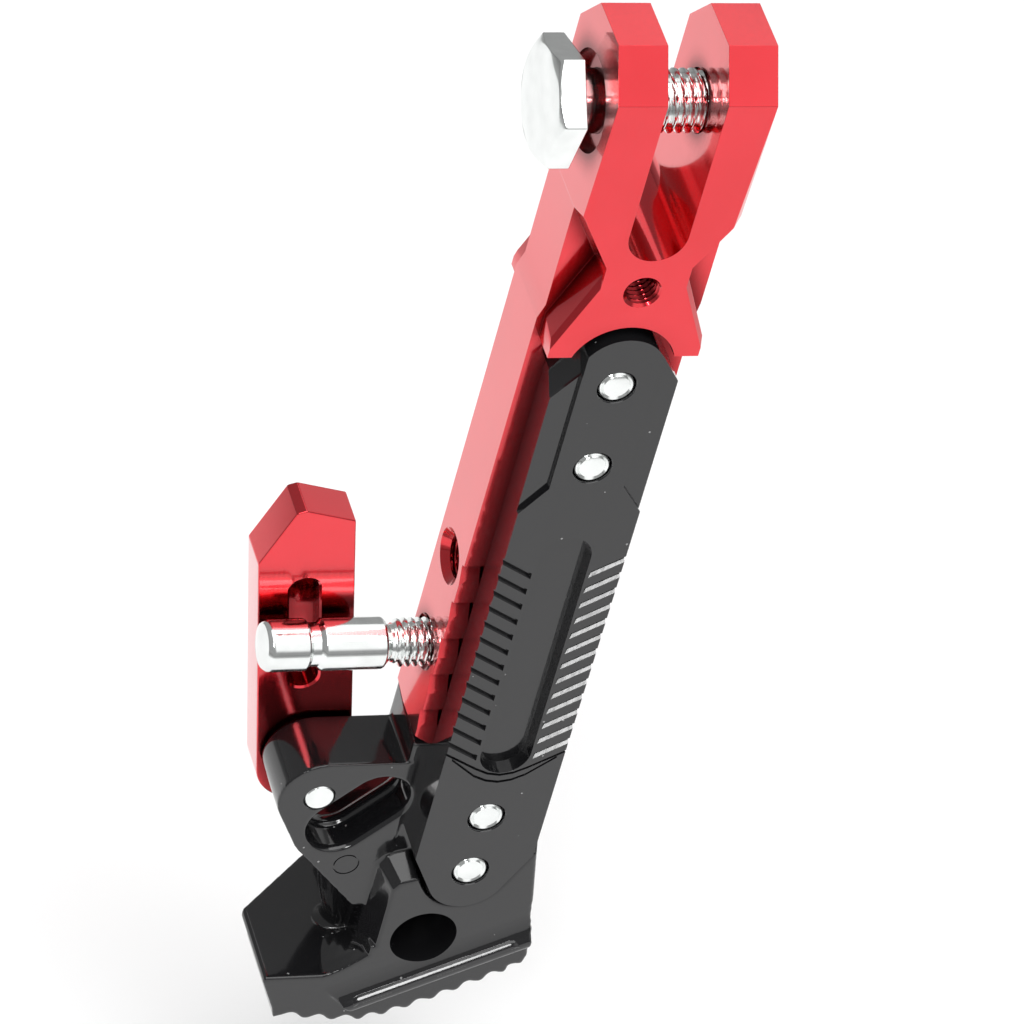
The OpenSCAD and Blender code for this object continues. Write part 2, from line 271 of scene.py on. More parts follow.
def bevel(obj, width, segments=2, angle=30):
    """Rounds the edges that turn by more than the angle, given in degrees."""
    edge = obj.modifiers.new("edge", "BEVEL")
    edge.width = width
    edge.segments = segments
    edge.limit_method = "ANGLE"
    edge.angle_limit = math.radians(angle)
    return settle(obj)


def tidy(obj, distance=0.004):
    """Merges the slivers that cutting leaves, so that the edges round cleanly."""
    bm = bmesh.new()
    bm.from_mesh(obj.data)
    bmesh.ops.remove_doubles(bm, verts=bm.verts, dist=distance)
    bmesh.ops.dissolve_degenerate(bm, edges=bm.edges, dist=distance)
    bmesh.ops.dissolve_limit(
        bm, angle_limit=math.radians(0.3), verts=bm.verts, edges=bm.edges, delimit={"NORMAL"}
    )
    bm.to_mesh(obj.data)
    bm.free()
    return obj


def finish_piece(obj, name, body, material, nodes, smooth_angle=28):
    """Brings a solid to metres, shades and colours it, and puts it on its body."""
    obj.name = name
    obj.data.name = name
    obj.data.transform(Matrix.Scale(MM, 4))
    for polygon in obj.data.polygons:
        polygon.use_smooth = True
    bm = bmesh.new()
    bm.from_mesh(obj.data)
    for edge in bm.edges:
        edge.smooth = (
            len(edge.link_faces) == 2 and edge.calc_face_angle(0) <= math.radians(smooth_angle)
        )
    bm.to_mesh(obj.data)
    bm.free()
    flat = obj.modifiers.new("flat_faces", "WEIGHTED_NORMAL")
    flat.mode = "FACE_AREA"
    flat.weight = 100
    flat.keep_sharp = True
    obj.data.materials.clear()
    obj.data.materials.append(material)
    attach(obj, body)
    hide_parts(*nodes)
    return obj


# ---------------------------------------------------------------- materials
def new_material(name):
    material = bpy.data.materials.new(name)
    material.use_nodes = True
    tree = material.node_tree
    return material, tree, tree.nodes["Principled BSDF"]


def noise(tree, scale, detail=2.0, stretch=(1, 1, 1)):
    """Noise in the object's own space; scale counts features per metre."""
    place = tree.nodes.new("ShaderNodeTexCoord")
    mapping = tree.nodes.new("ShaderNodeMapping")
    mapping.inputs["Scale"].default_value = stretch
    texture = tree.nodes.new("ShaderNodeTexNoise")
    texture.inputs["Scale"].default_value = scale
    texture.inputs["Detail"].default_value = detail
    tree.links.new(place.outputs["Object"], mapping.inputs["Vector"])
    tree.links.new(mapping.outputs["Vector"], texture.inputs["Vector"])
    return texture.outputs["Fac"]


def spread(tree, value, low, high):
    """Maps a 0.3 to 0.7 noise value onto low to high."""
    node = tree.nodes.new("ShaderNodeMapRange")
    node.inputs["From Min"].default_value = 0.3
    node.inputs["From Max"].default_value = 0.7
    node.inputs["To Min"].default_value = low
    node.inputs["To Max"].default_value = high
    tree.links.new(value, node.inputs["Value"])
    return node.outputs["Result"]


def blend_colours(tree, value, first, second):
    mix = tree.nodes.new("ShaderNodeMix")
    mix.data_type = "RGBA"
    mix.inputs["A"].default_value = (*first, 1)
    mix.inputs["B"].default_value = (*second, 1)
    tree.links.new(value, mix.inputs["Factor"])
    return mix.outputs["Result"]


def add_bump(tree, shader, height, strength, distance):
    bump = tree.nodes.new("ShaderNodeBump")
    bump.inputs["Strength"].default_value = strength
    bump.inputs["Distance"].default_value = distance
    tree.links.new(height, bump.inputs["Height"])
    tree.links.new(bump.outputs["Normal"], shader.inputs["Normal"])
    return bump


def specks(tree, scale, share, radius):
    """1 on sparse tiny dust specks, 0 elsewhere."""
    place = tree.nodes.new("ShaderNodeTexCoord")
    cells = tree.nodes.new("ShaderNodeTexVoronoi")
    cells.inputs["Scale"].default_value = scale
    tree.links.new(place.outputs["Object"], cells.inputs["Vector"])
    near = tree.nodes.new("ShaderNodeMath")
    near.operation = "LESS_THAN"
    near.inputs[1].default_value = radius
    tree.links.new(cells.outputs["Distance"], near.inputs[0])
    part = tree.nodes.new("ShaderNodeSeparateColor")
    tree.links.new(cells.outputs["Color"], part.inputs["Color"])
    rare = tree.nodes.new("ShaderNodeMath")
    rare.operation = "LESS_THAN"
    rare.inputs[1].default_value = share
    tree.links.new(part.outputs["Red"], rare.inputs[0])
    both = tree.nodes.new("ShaderNodeMath")
    both.operation = "MULTIPLY"
    tree.links.new(near.outputs["Value"], both.inputs[0])
    tree.links.new(rare.outputs["Value"], both.inputs[1])
    return both.outputs["Value"]


def painted_corner_shade(tree, distance):
    """Painted shade: 1 on open faces, falling to a quarter in corners narrower than the distance.
    """
    hollow = tree.nodes.new("ShaderNodeAmbientOcclusion")
    hollow.samples = 8
    hollow.inputs["Distance"].default_value = distance
    share = tree.nodes.new("ShaderNodeMapRange")
    share.inputs["From Min"].default_value = 0.6
    share.inputs["From Max"].default_value = 0.96
    share.inputs["To Min"].default_value = 0.25
    tree.links.new(hollow.outputs["AO"], share.inputs["Value"])
    return share.outputs["Result"]


def anodised_red():
    """Clear bright red anodising over machined aluminium, darkened in corners and recesses by
    painted shade.
    """
    material, tree, shader = new_material("anodised_red")
    cloud = noise(tree, 60, 3)
    deep_red, light_red = (0.72, 0.010, 0.020), (0.79, 0.016, 0.030)
    colour = blend_colours(tree, spread(tree, cloud, 0, 1), deep_red, light_red)
    # Painted shade: ambient occlusion darkens the red and thins its coat in corners, creases and
    # recesses.
    corner_shade_factor = painted_corner_shade(tree, 4.5 * MM)
    shaded_colour = tree.nodes.new("ShaderNodeVectorMath")
    shaded_colour.operation = "SCALE"
    tree.links.new(colour, shaded_colour.inputs[0])
    tree.links.new(corner_shade_factor, shaded_colour.inputs["Scale"])
    tree.links.new(shaded_colour.outputs["Vector"], shader.inputs["Base Color"])
    shader.inputs["Metallic"].default_value = 1.0
    grain = noise(tree, 2500, 4, (1, 1, 0.12))
    tree.links.new(spread(tree, grain, 0.12, 0.2), shader.inputs["Roughness"])
    tree.links.new(corner_shade_factor, shader.inputs["Coat Weight"])
    shader.inputs["Coat Roughness"].default_value = 0.05
    shader.inputs["Coat IOR"].default_value = 1.55
    add_bump(tree, shader, grain, 0.04, 0.00002)
    return material


def gloss_black():
    """Glossy black coating on a casting, with slight orange peel and a little dust."""
    material, tree, shader = new_material("gloss_black")
    dust = specks(tree, 620, 0.05, 0.12)
    colour = blend_colours(tree, dust, (0.009, 0.009, 0.010), (0.30, 0.30, 0.30))
    tree.links.new(colour, shader.inputs["Base Color"])
    peel = noise(tree, 700, 2)
    tree.links.new(spread(tree, noise(tree, 90, 3), 0.07, 0.14), shader.inputs["Roughness"])
    shader.inputs["IOR"].default_value = 1.5
    shader.inputs["Coat Weight"].default_value = 0.3
    shader.inputs["Coat Roughness"].default_value = 0.04
    add_bump(tree, shader, peel, 0.22, 0.00006)
    return material


def bright_steel():
    """Polished plating with faint turning marks."""
    material, tree, shader = new_material("bright_steel")
    cloud = noise(tree, 250, 3)
    colour = blend_colours(tree, spread(tree, cloud, 0, 1), (0.80, 0.82, 0.81), (0.90, 0.92, 0.91))
    tree.links.new(colour, shader.inputs["Base Color"])
    shader.inputs["Metallic"].default_value = 1.0
    rings = noise(tree, 1800, 3, (3, 0.2, 0.2))
    tree.links.new(spread(tree, rings, 0.08, 0.2), shader.inputs["Roughness"])
    add_bump(tree, shader, rings, 0.08, 0.00002)
    return material


def zinc_steel():
    """Satin zinc plating."""
    material, tree, shader = new_material("zinc_steel")
    cloud = noise(tree, 400, 4)
    colour = blend_colours(tree, spread(tree, cloud, 0, 1), (0.50, 0.51, 0.53), (0.68, 0.69, 0.70))
    tree.links.new(colour, shader.inputs["Base Color"])
    shader.inputs["Metallic"].default_value = 1.0
    grain = noise(tree, 2600, 4, (0.15, 1, 1))
    tree.links.new(spread(tree, grain, 0.25, 0.45), shader.inputs["Roughness"])
    add_bump(tree, shader, grain, 0.15, 0.00003)
    return material


RED = anodised_red()
BLACK = gloss_black()
STEEL = bright_steel()
ZINC = zinc_steel()


# ---------------------------------------------------------------- clevis and leg
def clevis_ring(front, upper, lower):
    """The clevis outline at one depth; upper and lower move the pocket's two walls."""
    top = EAR_TOP + 1
    right = [(EAR_X, top), (EAR_X, -14.5 - upper)]
    if upper > 0:
        right += [(7.2, -25.78), (7.2, -25.84)]
    else:
        right += [(7, -24.4), (7, -26.6 + lower)]
    right += [(12.4, -39 + lower), (12.4, -42.6)]
    left = [(-x, z) for x, z in reversed(right)]
    return [(x, -front, z) for x, z in right + left]


def clevis_blank():
    """The clevis before it is slotted: pockets at its sides, its top corners sloped off."""
    chamfer, chamfer_depth = 1.9, 0.75
    pocket_up, pocket_down = 1.7, 1.2
    body = loft("clevis", [
        clevis_ring(-EAR_HALF, 0, -chamfer),
        clevis_ring(-EAR_HALF + chamfer_depth, 0, 0),
        clevis_ring(-LEG_BACK, pocket_up, pocket_down),
        clevis_ring(LEG_FRONT, pocket_up, pocket_down),
        clevis_ring(EAR_HALF - chamfer_depth, 0, 0),
        clevis_ring(EAR_HALF, 0, -chamfer),
    ])
    flat = 5
    low = -43.6
    side = [
        (-flat, EAR_TOP), (flat, EAR_TOP), (EAR_HALF, EAR_TOP - EAR_SLOPE), (EAR_HALF, low),
        (-EAR_HALF, low), (-EAR_HALF, EAR_TOP - EAR_SLOPE),
    ]
    return keep_common(body, side_slab(side, -14, 14))


def ear_edge_cutter():
    """Takes the right ear's front outer edge off at 45 degrees, widening downwards."""
    corners = [(x, y, z) for x in (0, 5) for y in (-5, 5) for z in (-26, 0)]
    faces = [(0, 1, 3, 2), (4, 6, 7, 5), (0, 4, 5, 1), (2, 3, 7, 6), (0, 2, 6, 4), (1, 5, 7, 3)]
    place = (
        Matrix.Translation((EAR_X, -EAR_HALF, EAR_TOP - EAR_SLOPE))
        @ Matrix.Rotation(math.radians(-45), 4, "Z")
        @ Matrix.Rotation(math.radians(1.8), 4, "Y")
    )
    return move(mesh_object("ear_edge", corners, faces), place)


def leg_blank():
    """The neck under the clevis, and the bar below it with its lower corners cut off."""
    neck = front_slab(
        [
            (-NECK_X, 4), (NECK_X, 4), (NECK_X, -NECK_END), (LEG_RIGHT, -LEG_SHOULDER),
            (-LEG_LEFT, -LEG_SHOULDER), (-NECK_X, -NECK_END),
        ],
        -LEG_BACK, LEG_FRONT,
    )
    corner_x, corner_z = 2.8, 1.9
    bar = front_slab(
        [
            (-LEG_LEFT, -LEG_SHOULDER), (LEG_RIGHT, -LEG_SHOULDER),
            (LEG_RIGHT, -LEG_END + corner_z), (LEG_RIGHT - corner_x, -LEG_END),
            (-LEG_LEFT + corner_x, -LEG_END), (-LEG_LEFT, -LEG_END + corner_z),
        ],
        -LEG_BACK, LEG_FRONT,
    )
    end_slope = 2.9
    profile = [
        (-LEG_FRONT, -LEG_SHOULDER), (-LEG_FRONT, -LEG_END), (LEG_BACK, -LEG_END + end_slope),
        (LEG_BACK, -LEG_SHOULDER),
    ]
    bar = keep_common(bar, side_slab(profile, -LEG_LEFT - 1, LEG_RIGHT + 1))
    return neck, bar


def notch_cutters():
    """Steep-topped notches across the leg's front, each running out downwards."""
    cutters = []
    lap = COVER_X - 0.4
    for i in range(NOTCHES):
        z = NOTCH_Z + i * NOTCH_PITCH
        section = [
            (-LEG_FRONT - 0.6, z), (-LEG_FRONT + 0.8, z - 0.7), (-LEG_FRONT + 0.8, z - 1.2),
            (-LEG_FRONT - 0.04, z - 4.8), (-LEG_FRONT - 0.6, z - 4.8),
        ]
        for left, right in ((-LEG_LEFT - 1, -lap), (lap, LEG_RIGHT + 1)):
            cutters.append(side_slab(section, left, right))
    return cutters


def adjuster_slot(radius, beyond, back, front):
    """Cutter for the slot that the clamp screws slide along, with room beyond their travel."""
    outline = slot_outline(radius, CLAMP_Z[0] + beyond, CLAMP_Z[1] - SLIDE - beyond)
    return front_slab(outline, back, front)


def build_leg():
    """Clevis, neck and bar in one, then its slots, bores, threads and notches."""
    body = clevis_blank()
    body = cut(body, ear_edge_cutter(), mirrored(ear_edge_cutter()))
    neck, bar = leg_blank()
    body = join(body, neck, bar)
    slot = [(SLOT_X, EAR_TOP + 3), (-SLOT_X, EAR_TOP + 3)]
    slot += arc(0, -SLOT_END, SLOT_X, 180, 360, 32)
    body = cut(body, front_slab(slot, -12, 12))
    scallop = arc(0, COVER_TOP_Z, 8.9, 0, 360, 64)[:-1]
    body = cut(body, front_slab(scallop, LEG_FRONT, 12))
    tidy(body)
    bevel(body, 0.28)
    stop_hole = (0, -EAR_HALF, STOP_HOLE_Z)
    post_hole = (-LEG_LEFT, SIDE_HOLE_Y, POST_Z)
    spare_hole = (-LEG_LEFT, SIDE_HOLE_Y, SPARE_Z)
    cutters = [
        lathe([(BOLT_R + 0.08, -14), (BOLT_R + 0.08, 14)], (0, 0, 0), ALONG_X),
        lathe([(8.4, -14), (7.9, -12.4), (7.9, -11.4)], (0, 0, 0), ALONG_X),
        adjuster_slot(3.3, 0.3, -8, 7),
        adjuster_slot(GROOVE_X, 0.5, -8, -GROOVE_FLOOR),
        lathe([(5.7, -1), (4.08, 0.62), (4.08, 8)], post_hole, ALONG_X),
        thread_solid(stop_hole, TO_FRONT, 2.5, 3.0, 1.0, -11.6, 0.5, hole=True),
        lathe([(4.3, 1.2), (2.4, -0.65)], stop_hole, TO_FRONT),
        thread_solid(spare_hole, ALONG_X, 3.4, 4.0, 1.25, -0.5, 7, hole=True),
        lathe([(5.7, -1), (3.3, 1.4)], spare_hole, ALONG_X),
    ]
    body = cut(body, *notch_cutters(), *cutters)
    return finish_piece(body, "leg_body", "leg", RED, ["upper_leg"])


# ---------------------------------------------------------------- bolt and post
def build_bolt():
    """Hexagon head with a chamfered face, a collar under it, a plain shank and a thread."""
    head_x, head_t = -20.6, 4.48
    seat = head_x + head_t
    corners = [(y, -x) for x, y in hexagon(18, 14)]
    head = side_slab(corners, head_x, seat)
    dome = [(7.4, head_x), (8.7, head_x + 0.12), (12, head_x + 1.9), (12, seat + 1)]
    head = keep_common(head, lathe(dome, (0, 0, 0), ALONG_X))
    bevel(head, 0.22)
    collar = lathe([(7.8, seat - 0.1), (7.8, seat + 0.35)], (0, 0, 0), ALONG_X)
    plain = [(BOLT_R, head_x + 3), (BOLT_R, -6.6), (4.2, -6.0), (4.2, -4)]
    shank = lathe(plain, (0, 0, 0), ALONG_X)
    thread = thread_solid((0, 0, 0), ALONG_X, 4.15, BOLT_R, 1.5, -6.8, 6.4)
    bolt = join(head, collar, shank, thread)
    return finish_piece(bolt, "bolt", "bolt", STEEL, ["pivot_bolt"], 32)


def build_post():
    """A thread, a short thinner neck, and a round post with a groove for the spring."""
    place = (0, SIDE_HOLE_Y, POST_Z)
    profile = [
        (0.01, 18.0), (3.0, 18.0), (3.0, 20.0), (3.9, 20.9), (4.15, 21.1), (4.3, 21.5),
        (4.3, 31.2), (4.2, 31.5), (3.75, 31.9), (3.6, 32.1), (3.6, 33.5), (3.75, 33.7),
        (4.2, 34.1), (4.3, 34.4), (4.3, 39.9), (4.15, 40.5), (3.7, 41.05), (2.8, 41.35),
        (1.2, 41.5), (0.01, 41.5),
    ]
    body = lathe(profile, place, TO_LEFT)
    thread = thread_solid(place, TO_LEFT, 3.2, 4.0, 1.25, LEG_LEFT - 2.7, 19.4)
    post = join(thread, body)
    return finish_piece(post, "post_turned", "post", STEEL, ["spring_post"], 32)


# ---------------------------------------------------------------- cover
def cover_toe(grow=0.0):
    """The cover's round lower end, or one larger by the amount given."""
    radius = COVER_TOE_R + grow
    return arc(0, COVER_TOE_Z, radius, 180 + COVER_TOE_ANGLE, 360 - COVER_TOE_ANGLE, 24)


def cover_outline():
    points = [(COVER_X, COVER_TOP_SIDE_Z)]
    points += arc(0, COVER_TOP_Z, 7.2, 30, 150, 24)
    points += [(-COVER_X, COVER_TOP_SIDE_Z), (-COVER_X, COVER_TOE_SIDE_Z)]
    points += cover_toe()
    points += [(COVER_X, COVER_TOE_SIDE_Z)]
    return points


def rib_cutter(z, side):
    """A slanted groove with sloped walls, down towards the window."""
    profile = [(-0.84, 0.2), (0.7, 0.2), (0.16, -0.62), (-0.1, -0.62)]
    length = 6.9
    rings = []
    for along in (0, length):
        drop = along * math.sin(RIB_SLANT)
        inward = along * math.cos(RIB_SLANT)
        x = side * (COVER_X + 0.5 - inward)
        rings.append([(x, -COVER_FRONT - depth, z + across - drop) for across, depth in profile])
    return loft("rib", rings)


def vee_cutter(z, half):
    """A groove that runs down from both sides and meets under the window."""
    bend = [(4.4, 3.9), (2.2, 5.0)]
    path = [(-half, 0)] + [(-x, drop) for x, drop in bend] + [(0, 5.4)] + bend[::-1] + [(half, 0)]
    profile = [(-0.3, 0.2), (0.3, 0.2), (0.16, -0.45), (-0.16, -0.45)]
    return loft("vee", [
        [(x, -COVER_FRONT - depth, z - drop + across) for across, depth in profile]
        for x, drop in path
    ])


def window_cutter():
    """The long blind window, its floor a little smaller than its rim."""
    return loft("window", [
        [(x, -COVER_FRONT + 2.2, z) for x, z in slot_outline(3.9, *WINDOW_Z)],
        [(x, -COVER_FRONT - 0.1, z) for x, z in slot_outline(4.35, *WINDOW_Z)],
    ])


def shoulder_cutter():
    """The step at the cover's top left, its lower wall sloped."""
    return loft("shoulder", [
        [(-12, -n, -52.9 + up), (-6.15, -n, -45.8 + up), (-6.15, -n, -37), (-12, -n, -37)]
        for n, up in ((8.0, 2.9), (10.8, 0), (13, 0))
    ])


def build_cover():
    """The ribbed cover: lowered lands beside its top screws, a window, ribs and holes."""
    body = front_slab(cover_outline(), COVER_BACK, COVER_FRONT)
    land = [(6.2, -38), (14, -38), (14, -74.6), (COVER_X, -74.6), (6.2, -69.3)]
    left_land = [(-x, z) for x, z in land]
    body = cut(
        body,
        front_slab(land, COVER_FRONT - 0.8, COVER_FRONT + 1),
        front_slab(left_land, COVER_FRONT - 0.75, COVER_FRONT + 1),
        shoulder_cutter(),
        window_cutter(),
    )
    grooves = []
    for i in range(RIBS):
        for side in (-1, 1):
            grooves.append(rib_cutter(WINDOW_Z[0] - 0.2 - i * RIB_RUN / RIBS, side))
    grooves.append(vee_cutter(-127.6, COVER_X + 0.6))
    grooves.append(vee_cutter(-129.2, COVER_X - 1.2))
    body = cut(body, *grooves)
    tidy(body, 0.01)
    bevel(body, 0.3, 3, 25)
    holes = []
    for z in CLAMP_Z + FOOT_Z:
        holes.append(lathe([(3.06, 5), (3.06, 11.7), (3.45, 12.3)], (0, 0, z), TO_FRONT))
    body = cut(body, *holes)
    return finish_piece(body, "cover", "foot", BLACK, ["front_cover"], 40)


# ---------------------------------------------------------------- foot
def arm_outline():
    """The arm seen from the front: round about the pin, and down its left side."""
    end_x, end_r = PIN_X + 0.5, 7.5
    low_x, low_z, low_r = -22.3, -150.3, 7.85
    points = [(-12, PIN_Z + end_r)]
    points += arc(end_x, PIN_Z, end_r, 90, 211, 28)
    points += arc(low_x, low_z, low_r, 211, 221.6, 4)
    points += [(-16.2, -169), (-12, -169)]
    return points


def opening_cutter():
    """The arm's oval opening, with a narrower ledge half way through."""
    steps = [
        (-7, 5.2), (-1.6, 5.0), (-1.0, 4.3), (0.4, 4.3), (1.0, 5.0), (5.2, 5.15), (7, 6.2),
    ]
    rings = []
    for n, radius in steps:
        oval = arc(-16.5, -144.5, radius, -45, 135, 20) + arc(-22.3, -150.3, radius, 135, 315, 20)
        rings.append([(x, -n, z) for x, z in oval])
    return loft("opening", rings)


def sole_outline():
    """The foot plate seen from the front, its sole in rounded waves."""
    points = [(15.2, -177.6), (14.6, -170.6), (-13, -174), (-13, WING_TOP), (-29.9, WING_TOP)]
    points += [(-30.2, -181.4), (-27.2, -188.2), (-26.6, -190.3)]
    peaks = [
        (-26.2, -189.9), (-21.1, -190.8), (-16.3, -191.5), (-11.4, -191.75), (-7.3, -190.8),
        (-3.4, -189.3), (0.7, -187.4), (4.4, -185.5), (8.3, -183.4), (12.0, -181.5),
        (14.7, -179.5),
    ]
    depth, steps = 1.15, 8
    for start, end in zip(peaks, peaks[1:]):
        run = Vector((end[0] - start[0], end[1] - start[1]))
        up = Vector((-run.y, run.x)).normalized()
        for step in range(steps):
            t = step / steps
            rise = depth * 0.5 * (1 - math.cos(2 * math.pi * t))
            points.append((start[0] + run.x * t + up.x * rise, start[1] + run.y * t + up.y * rise))
    points.append(peaks[-1])
    return points


def foot_plate():
    """The plate over the sole, cut to its outline seen from above."""
    plate = front_slab(sole_outline(), -21, FOOT_FRONT)
    plan = [
        (-30.5, -FOOT_FRONT), (15.6, -FOOT_FRONT), (15.6, 12), (10, 20), (-12, 20),
        (-16.8, 17), (-29.8, 5.3), (-30.5, 4),
    ]
    return keep_common(plate, plan_slab(plan, -200, -160))


def boss():
    """The block in front of the leg that the cover's end is let into, narrower at its face."""
    base = [
        (-14, -159.2), (-12.8, -157), (13, -152), (13.6, -165), (15.2, -177.6), (14.6, -179.2),
        (-14, -188),
    ]
    face = [
        (-12.1, -160.6), (-11, -158.9), (11.2, -152.8), (13.3, -165), (15, -177.6), (14.4, -179.2),
        (-12.1, -188),
    ]
    return loft("boss", [
        [(x, -LEG_FRONT + 0.5, z) for x, z in base],
        [(x, -FOOT_FRONT, z) for x, z in face],
    ])


def lip_point(along, y, lift):
    """A point near the lip: along its slope, at a depth y, and lifted square to the slope."""
    return (
        LIP_START[0] + along * math.cos(LIP_SLOPE) - lift * math.sin(LIP_SLOPE),
        y,
        LIP_START[1] + along * math.sin(LIP_SLOPE) + lift * math.cos(LIP_SLOPE),
    )


def boss_flare():
    """The boss's lower edge: a hollow sweep to a lip, with an undercut band beneath."""
    section = [
        (-9, -1.5), (-11.0, -1.5), (-11.2, -1.25), (-11.8, -1.1), (-12.35, -0.85), (-12.68, -0.4),
        (-12.8, 0.1), (-12.8, 0.7), (-12.72, 1.05), (-12.5, 1.32), (-12.1, 1.68), (-11.75, 2.05),
        (-11.45, 2.6), (-11.22, 3.3), (-11.08, 4.2), (-11.0, 5.5), (-10.9, 7.6), (-9, 8.2),
    ]
    rings = [[lip_point(along, y, lift) for y, lift in section] for along in (0, 42)]
    limit = [
        (-19.7, -180.7), (-19.8, -182), (-18.7, -184.2), (-15.4, -187), (-11.5, -189.4),
        (16, -180), (14.6, -178.6), (14.9, -177), (13.6, -165), (-12.1, -170), (-12.1, -174.9),
    ]
    return keep_common(loft("flare", rings), front_slab(limit, 8, 14))


def lip_land():
    """A narrow flat along the lip, tapered at both ends."""
    section = [
        (-12.5, 0.5), (-12.79, 0.8), (-12.79, 1.25), (-12.62, 1.43), (-12.3, 1.69), (-12.05, 1.85),
        (-11.85, 1.92), (-11.6, 1.85), (-11.3, 1.4),
    ]
    ends = ((0, 0.5), (0.15, 0.25), (0.6, 0.06), (1.3, 0))
    stations = [(9.3 + step, lower) for step, lower in ends]
    stations += [(38.7 - step, lower) for step, lower in reversed(ends)]
    return loft("lip", [
        [lip_point(along, y, lift - lower) for y, lift in section] for along, lower in stations
    ])


def cover_gap():
    """The pocket that the cover's end sits in, with a gap around it."""
    grow = 0.8
    side = COVER_X + grow
    low = COVER_TOE_SIDE_Z - 0.2
    points = [(side, -140), (-side, -140), (-side, low)]
    points += cover_toe(grow + 0.05)
    points += [(side, low)]
    return front_slab(points, COVER_BACK, FOOT_FRONT + 2)


def foot_column():
    """The foot's middle, which carries the leg's line on behind the cover."""
    low = -182
    side = [
        (LEG_BACK, -LEG_END + 2.7), (LEG_BACK, low), (-COVER_BACK, low),
        (-COVER_BACK, -LEG_END - 0.2), (-LEG_FRONT, -LEG_END - 0.2),
    ]
    return side_slab(side, -LEG_LEFT + 0.2, LEG_RIGHT - 0.1)


def wing_ramp():
    """The wing's top sweeps up to the boss at the front, and less and less behind."""
    rise = [(-22, 0), (-20.5, 0.3), (-19, 0.9), (-17.4, 1.8), (-15.8, 3), (-14, 4.5), (-11.5, 6.5)]
    start, base = WING_TOP - 0.55, WING_TOP - 2.5
    rings = []
    for n, share in ((FOOT_FRONT, 1), (8, 0.85), (5, 0.6), (2, 0.35), (-1, 0.15), (-4, 0.02)):
        ring = [(x, -n, start + share * up) for x, up in rise]
        rings.append(ring + [(-11.5, -n, base), (-22, -n, base)])
    return loft("ramp", rings)


def arm_web():
    """Round-edged rib under the arm, spreading where it meets the wing."""
    radius, middle = 3.0, -2.4
    rings = []
    for z, left in (
        (-158, -23.2), (-163, -21.4), (-168, -20.2), (-172, -19.3), (-175.5, -18.2),
        (-178, -17.2), (-179.6, -17.4), (-180.6, -18.6), (-182, -20),
    ):
        ring = [(x, -n, z) for x, n in arc(left + radius, middle, radius, 90, 270, 20)]
        rings.append([(-11, -(middle + radius), z)] + ring + [(-11, -(middle - radius), z)])
    return loft("web", rings)


def ring_mark():
    """Cutter for the small circle sunk in the arm's face."""
    centre = (-19.2, 0, -159.1)
    outer = lathe([(2.25, 5.7), (2.25, 6.2)], centre, TO_FRONT)
    inner = lathe([(2.0, 5.6), (2.0, 6.3)], centre, TO_FRONT)
    return cut(outer, inner)


def build_foot():
    """One casting of boss, arm, web, wing and sole, with crisp holes and a crisp lip."""
    front = cut(boss(), cover_gap())
    arm = front_slab(arm_outline(), ARM_BACK, ARM_FRONT)
    body = join(
        foot_column(), arm, arm_web(), foot_plate(), front, wing_ramp(), boss_flare()
    )
    body = cut(body, opening_cutter())
    cast(body, 0.24, 8)
    pin_bore = [(3.3, -7.2), (2.53, -4.9), (2.53, 5.6), (2.9, 6.3)]
    socket = [(0.01, -2.8), (4.6, -1), (5.5, -0.9), (5.5, 10.4), (5.7, 10.9), (5.8, 14)]
    screw_bore = [(5.9, -8), (5.9, -2.25), (3.2, -2.2), (3.2, 7)]
    holes = [lathe(pin_bore, (PIN_X, 0, PIN_Z), TO_FRONT), lathe(socket, SOCKET, TO_FRONT)]
    for z in FOOT_Z:
        holes.append(lathe(screw_bore, (0, 0, z), TO_FRONT))
    holes.append(ring_mark())
    body = join(cut(body, *holes), lip_land())
    return finish_piece(body, "foot_cast", "foot", BLACK, ["foot_casting"], 50)


# ---------------------------------------------------------------- lever and its pin
def lean(obj):
    """Turns a part drawn upright about the pin to the lever's lean."""
    centre = Matrix.Translation((PIN_X, 0, PIN_Z))
    return move(obj, centre @ Matrix.Rotation(math.radians(-LEVER_LEAN), 4, "Y"))


def build_lever():
    """The flat bar over the pin, with a blind groove down its middle and a sloped end."""
    half = 8
    heel = -4.2
    outline = [
        (half + 0.3, 50), (0.4, 53.85), (0.1, 53.9), (-1.3, 53.7), (-1.5, 53.5),
        (-half + 0.3, 43.7),
    ]
    outline += arc(0.3, heel, half, 180, 360, 32)
    lever = front_slab(outline, LEVER_FRONT - LEVER_T, LEVER_FRONT)
    bevel(lever, 0.4, 2, 25)
    low, high = 16.5, 36.2
    middle = (low + high) / 2
    groove = slot_outline(2.5, low, high)
    recess = loft("recess", [
        [(x, -LEVER_FRONT + 2.4, z) for x, z in groove],
        [(x, -LEVER_FRONT + 0.3, z) for x, z in groove],
        [(x * 1.22, -LEVER_FRONT - 0.2, z + (0.5 if z > middle else -0.5)) for x, z in groove],
    ])
    bore = lathe([(2.58, -14), (2.58, -5)], (0, 0, 0), TO_FRONT)
    lever = cut(lever, recess, bore)
    lean(lever)
    return finish_piece(lever, "lever", "lever", RED, ["kick_lever"])


def build_pin():
    """The lever's pin, grooved behind for its clip."""
    radius, groove_r = 2.5, 2.0
    tip = LEVER_FRONT - LEVER_T - 2.7
    groove_back, groove_front = tip + 0.9, tip + 1.6
    profile = [
        (0.01, tip), (2.2, tip), (radius, tip + 0.3), (radius, groove_back),
        (groove_r, groove_back), (groove_r, groove_front), (radius, groove_front),
        (radius, 5.75), (2.3, 5.95), (0.01, 6.0),
    ]
    pin = lathe(profile, (PIN_X, 0, PIN_Z), TO_FRONT)
    return finish_piece(pin, "pin", "foot", STEEL, ["lever_pin"], 32)


